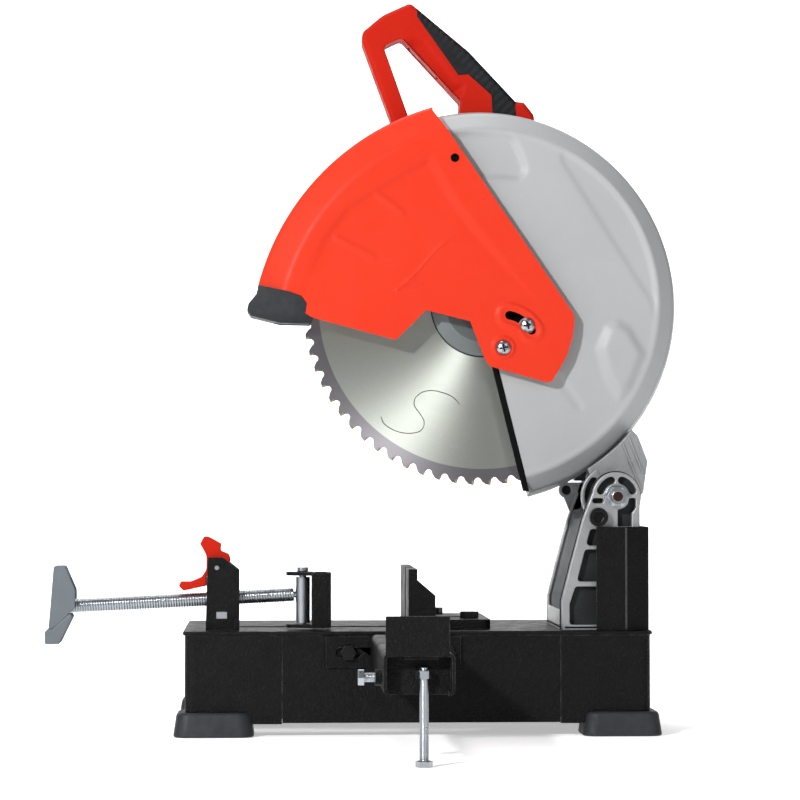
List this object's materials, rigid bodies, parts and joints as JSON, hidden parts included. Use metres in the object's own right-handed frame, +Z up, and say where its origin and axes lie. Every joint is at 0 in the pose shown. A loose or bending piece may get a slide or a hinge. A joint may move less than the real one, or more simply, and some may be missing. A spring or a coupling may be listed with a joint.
{
  "type": "metal cutting chop saw",
  "caption": "Bench chop saw for metal: tilting head with toothed blade, lifting guard, D-handle, quick-release vise, swinging fence and sliding work support.",
  "frame": {"origin": "on the floor at the middle of the four bench holes, under the middle of the base", "axes": "+Z up, +X from the operator towards the pedestal, +Y towards the motor side"},
  "size_m": [0.6187, 0.614, 0.7198],
  "materials": {
    "textured_black": "textured",
    "rubber": "matte",
    "zinc": "bright zinc plate",
    "black_steel": "black oxide",
    "cast_aluminium": "cast",
    "silver_paint": "satin",
    "red_paint": "satin",
    "red_plastic": "satin",
    "black_plastic": "matte",
    "blade_steel": "ground",
    "steel": "machined",
    "bronze": "sintered"
  },
  "bodies": {
    "base": {"base_top_plate": "textured_black", "base_left_end": "textured_black", "base_right_end": "textured_black", "base_front_panel": "textured_black", "base_rear_panel": "textured_black", "rubber_feet": "rubber", "foot_screws": "zinc", "pedestal": "cast_aluminium", "pedestal_cover": "textured_black", "m10_bolts": "black_steel", "m8_bolts": "black_steel", "pivot_bolt": "zinc", "pivot_nut": "zinc", "cross_screw": "black_steel", "vise_bracket": "textured_black", "screw_cradle": "zinc", "lever_pin": "zinc", "support_flange": "textured_black"},
    "release_lever": {"release_lever": "red_plastic", "half_nut": "steel"},
    "vise_carriage": {"swivel_sleeve": "zinc", "jaw_pin": "zinc"},
    "vise_screw": {"vise_screw": "zinc", "vise_handle": "zinc"},
    "vise_jaw": {"vise_jaw": "textured_black"},
    "fence": {"fence": "textured_black"},
    "support_arm": {"support_arm": "textured_black", "leg_nut": "zinc"},
    "leg_bolt": {"leg_bolt": "zinc"},
    "clamp_screw": {"clamp_screw": "zinc"},
    "head": {"arm_casting": "cast_aluminium", "pivot_bushes": "bronze", "return_spring": "black_steel", "stop_buffer": "rubber", "gearbox_housing": "cast_aluminium", "motor_housing": "red_plastic", "motor_end_cap": "black_plastic", "stator": "steel", "bearings": "steel", "brush_caps": "black_plastic", "main_guard": "silver_paint", "guard_screws": "zinc", "handle_front_half": "red_plastic", "handle_rear_half": "red_plastic", "grip_sleeve": "rubber", "switch_block": "black_plastic", "cable_gland": "rubber", "housing_screws": "zinc"},
    "blade": {"blade": "blade_steel", "blade_flanges": "blade_steel", "arbor_bolt": "black_steel", "spindle": "steel", "driven_gear": "steel"},
    "armature": {"armature": "steel", "cooling_fan": "black_plastic"},
    "front_guard": {"front_guard": "red_paint", "guard_nose": "rubber"},
    "trigger": {"trigger": "black_plastic"},
    "lock_button": {"lock_button": "black_plastic"},
    "spindle_lock": {"spindle_lock": "black_plastic"}
  },
  "joints": [
    {"name": "head_tilt", "type": "hinge", "parent": "base", "child": "head", "pos_m": [0.1913, 0, 0.228], "axis": [0, -1, 0], "range_deg": [0, 45], "stiffness_Nm_per_rad": 16, "springref_deg": -74.48},
    {"name": "blade_spin", "type": "hinge", "parent": "head", "child": "blade", "pos_m": [0.0673, 0, 0.416], "axis": [0, -1, 0], "continuous": true},
    {"name": "armature_spin", "type": "hinge", "parent": "head", "child": "armature", "pos_m": [0.09542, 0, 0.44951], "axis": [0, -1, 0], "continuous": true},
    {"name": "guard_lift", "type": "hinge", "parent": "head", "child": "front_guard", "pos_m": [0.0864, 0, 0.3731], "axis": [0, 1, 0], "range_deg": [0, 36]},
    {"name": "trigger_pull", "type": "slide", "parent": "head", "child": "trigger", "axis": [0.7326, 0, 0.6807], "range_m": [0, 0.005], "stiffness_N_per_m": 800, "springref_m": -0.004},
    {"name": "lock_button_press", "type": "slide", "parent": "head", "child": "lock_button", "axis": [0, -1, 0], "range_m": [0, 0.003], "stiffness_N_per_m": 500, "springref_m": -0.004},
    {"name": "spindle_lock_press", "type": "slide", "parent": "head", "child": "spindle_lock", "axis": [1, 0, 0], "range_m": [0, 0.003], "stiffness_N_per_m": 500, "springref_m": -0.004},
    {"name": "vise_slide", "type": "slide", "parent": "base", "child": "vise_carriage", "axis": [0.9987, 0, 0.0501], "range_m": [-0.03, 0.068]},
    {"name": "vise_screw_spin", "type": "hinge", "parent": "vise_carriage", "child": "vise_screw", "pos_m": [-0.2, -0.074, 0.12957], "axis": [0.9987, 0, 0.0501], "continuous": true},
    {"name": "jaw_swivel", "type": "hinge", "parent": "vise_carriage", "child": "vise_jaw", "pos_m": [-0.11, -0.074, 0.128], "axis": [0, 0, 1], "range_deg": [-12, 12]},
    {"name": "quick_release", "type": "hinge", "parent": "base", "child": "release_lever", "pos_m": [-0.1923, -0.074, 0.1598], "axis": [0, 1, 0], "range_deg": [0, 25]},
    {"name": "fence_swing", "type": "hinge", "parent": "base", "child": "fence", "pos_m": [0.023, 0.04, 0.1], "axis": [0, 0, 1], "range_deg": [0, 24]},
    {"name": "support_slide", "type": "slide", "parent": "base", "child": "support_arm", "axis": [0, -1, 0], "range_m": [0, 0.12]},
    {"name": "leg_adjust", "type": "slide", "parent": "support_arm", "child": "leg_bolt", "axis": [0, 0, 1], "range_m": [-0.002, 0.007]},
    {"name": "clamp_release", "type": "slide", "parent": "support_arm", "child": "clamp_screw", "axis": [-1, 0, 0], "range_m": [0, 0.004]}
  ],
  "couplings": [
    {"joint": "armature_spin", "follows": "blade_spin", "ratio": -6}
  ]
}
